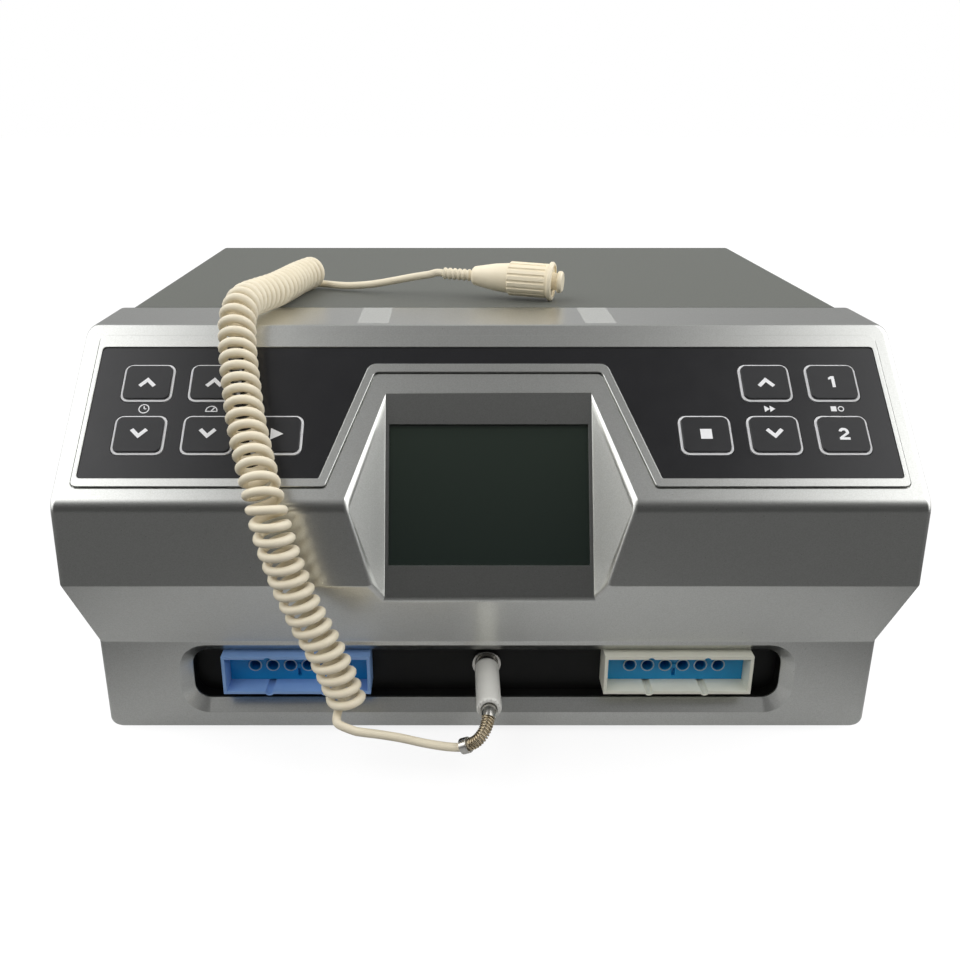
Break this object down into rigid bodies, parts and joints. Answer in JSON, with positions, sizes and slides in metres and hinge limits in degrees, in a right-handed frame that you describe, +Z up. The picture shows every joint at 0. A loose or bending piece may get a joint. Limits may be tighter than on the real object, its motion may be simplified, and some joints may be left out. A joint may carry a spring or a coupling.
{
  "type": "compression therapy pump",
  "caption": "Desktop air pump for compression therapy with sloping keypad, sunken display, twin air sockets and a push-button hand switch on a curly cord.",
  "frame": {"origin": "on the surface it stands on, under the middle of the pump's outline without its cord", "axes": "+X to the right seen from the keypad, +Y to the back, +Z up"},
  "size_m": [0.4, 0.3823, 0.2194],
  "materials": {
    "bezel": "fine silver paint on a moulding, satin",
    "cover": "fine grey powder coat",
    "zinc": "bare zinc-plated sheet",
    "key": "black key with a pale border",
    "plate": "black keypad plate",
    "lcd": "dark display glass",
    "lcd_body": "display module",
    "black_plastic": "black moulded plastic",
    "blue_shroud": "blue-violet plastic",
    "grey_shroud": "light grey plastic",
    "port_blue": "bright blue plastic",
    "nickel": "nickel plating",
    "white": "white plug sleeve",
    "ivory": "ivory vinyl of the cord",
    "ivory_hard": "ivory moulding",
    "rubber": "black rubber",
    "board": "green circuit board",
    "hose": "clear-grey vinyl hose",
    "cast": "die-cast aluminium"
  },
  "bodies": {
    "housing": {"base_tray": "zinc", "rubber_feet": "rubber", "top_cover": "cover", "cover_screws": "nickel", "rear_panel": "cover", "front_bezel": "bezel", "keypad_frame": "bezel", "keypad_plate": "plate", "keypad_board_left": "board", "keypad_board_right": "board", "key_switches": "black_plastic", "lcd_glass": "lcd", "lcd_module": "lcd_body", "bay_surround": "black_plastic", "socket_plate": "black_plastic", "socket_shroud_left": "blue_shroud", "socket_shroud_right": "grey_shroud", "port_block_left": "port_blue", "port_block_right": "port_blue", "jack_socket": "black_plastic", "jack_nut": "nickel", "plug_shank": "nickel", "plug_sleeve": "white", "plug_spring": "nickel", "plug_ferrule": "nickel", "cord_lead": "ivory", "cord_coil": "ivory", "cord_tail": "ivory", "handset_relief": "ivory", "handset_body": "ivory_hard", "handset_collar": "ivory_hard", "handset_switch": "black_plastic", "mains_inlet": "black_plastic", "switch_frame": "black_plastic", "air_compressor": "cast", "compressor_mounts": "rubber", "valve_manifold": "cast", "solenoid_valves": "black_plastic", "port_hoses": "hose", "supply_hose": "rubber", "control_board": "board", "power_board": "board", "board_posts": "nickel"},
    "key_time_up_body": {"key_time_up": "key"},
    "key_time_down_body": {"key_time_down": "key"},
    "key_pressure_up_body": {"key_pressure_up": "key"},
    "key_pressure_down_body": {"key_pressure_down": "key"},
    "key_start_body": {"key_start": "key"},
    "key_speed_up_body": {"key_speed_up": "key"},
    "key_speed_down_body": {"key_speed_down": "key"},
    "key_stop_body": {"key_stop": "key"},
    "key_mode_1_body": {"key_mode_1": "key"},
    "key_mode_2_body": {"key_mode_2": "key"},
    "hand_button": {"handset_button": "ivory_hard"},
    "rocker": {"power_rocker": "black_plastic"}
  },
  "joints": [
    {"name": "time_up_key_press", "type": "slide", "parent": "housing", "child": "key_time_up_body", "axis": [0, 0.6435, -0.7654], "range_m": [0, 0.001], "stiffness_N_per_m": 500, "springref_m": -0.002},
    {"name": "time_down_key_press", "type": "slide", "parent": "housing", "child": "key_time_down_body", "axis": [0, 0.6435, -0.7654], "range_m": [0, 0.001], "stiffness_N_per_m": 500, "springref_m": -0.002},
    {"name": "pressure_up_key_press", "type": "slide", "parent": "housing", "child": "key_pressure_up_body", "axis": [0, 0.6435, -0.7654], "range_m": [0, 0.001], "stiffness_N_per_m": 500, "springref_m": -0.002},
    {"name": "pressure_down_key_press", "type": "slide", "parent": "housing", "child": "key_pressure_down_body", "axis": [0, 0.6435, -0.7654], "range_m": [0, 0.001], "stiffness_N_per_m": 500, "springref_m": -0.002},
    {"name": "start_key_press", "type": "slide", "parent": "housing", "child": "key_start_body", "axis": [0, 0.6435, -0.7654], "range_m": [0, 0.001], "stiffness_N_per_m": 500, "springref_m": -0.002},
    {"name": "speed_up_key_press", "type": "slide", "parent": "housing", "child": "key_speed_up_body", "axis": [0, 0.6435, -0.7654], "range_m": [0, 0.001], "stiffness_N_per_m": 500, "springref_m": -0.002},
    {"name": "speed_down_key_press", "type": "slide", "parent": "housing", "child": "key_speed_down_body", "axis": [0, 0.6435, -0.7654], "range_m": [0, 0.001], "stiffness_N_per_m": 500, "springref_m": -0.002},
    {"name": "stop_key_press", "type": "slide", "parent": "housing", "child": "key_stop_body", "axis": [0, 0.6435, -0.7654], "range_m": [0, 0.001], "stiffness_N_per_m": 500, "springref_m": -0.002},
    {"name": "mode_1_key_press", "type": "slide", "parent": "housing", "child": "key_mode_1_body", "axis": [0, 0.6435, -0.7654], "range_m": [0, 0.001], "stiffness_N_per_m": 500, "springref_m": -0.002},
    {"name": "mode_2_key_press", "type": "slide", "parent": "housing", "child": "key_mode_2_body", "axis": [0, 0.6435, -0.7654], "range_m": [0, 0.001], "stiffness_N_per_m": 500, "springref_m": -0.002},
    {"name": "hand_button_press", "type": "slide", "parent": "housing", "child": "hand_button", "axis": [-0.9641, 0.2638, 0.0297], "range_m": [0, 0.0022], "stiffness_N_per_m": 700, "springref_m": -0.002},
    {"name": "power_switch_tip", "type": "hinge", "parent": "housing", "child": "rocker", "pos_m": [0.088, 0.172, 0.045], "axis": [-1, 0, 0], "range_deg": [0, 16]}
  ]
}
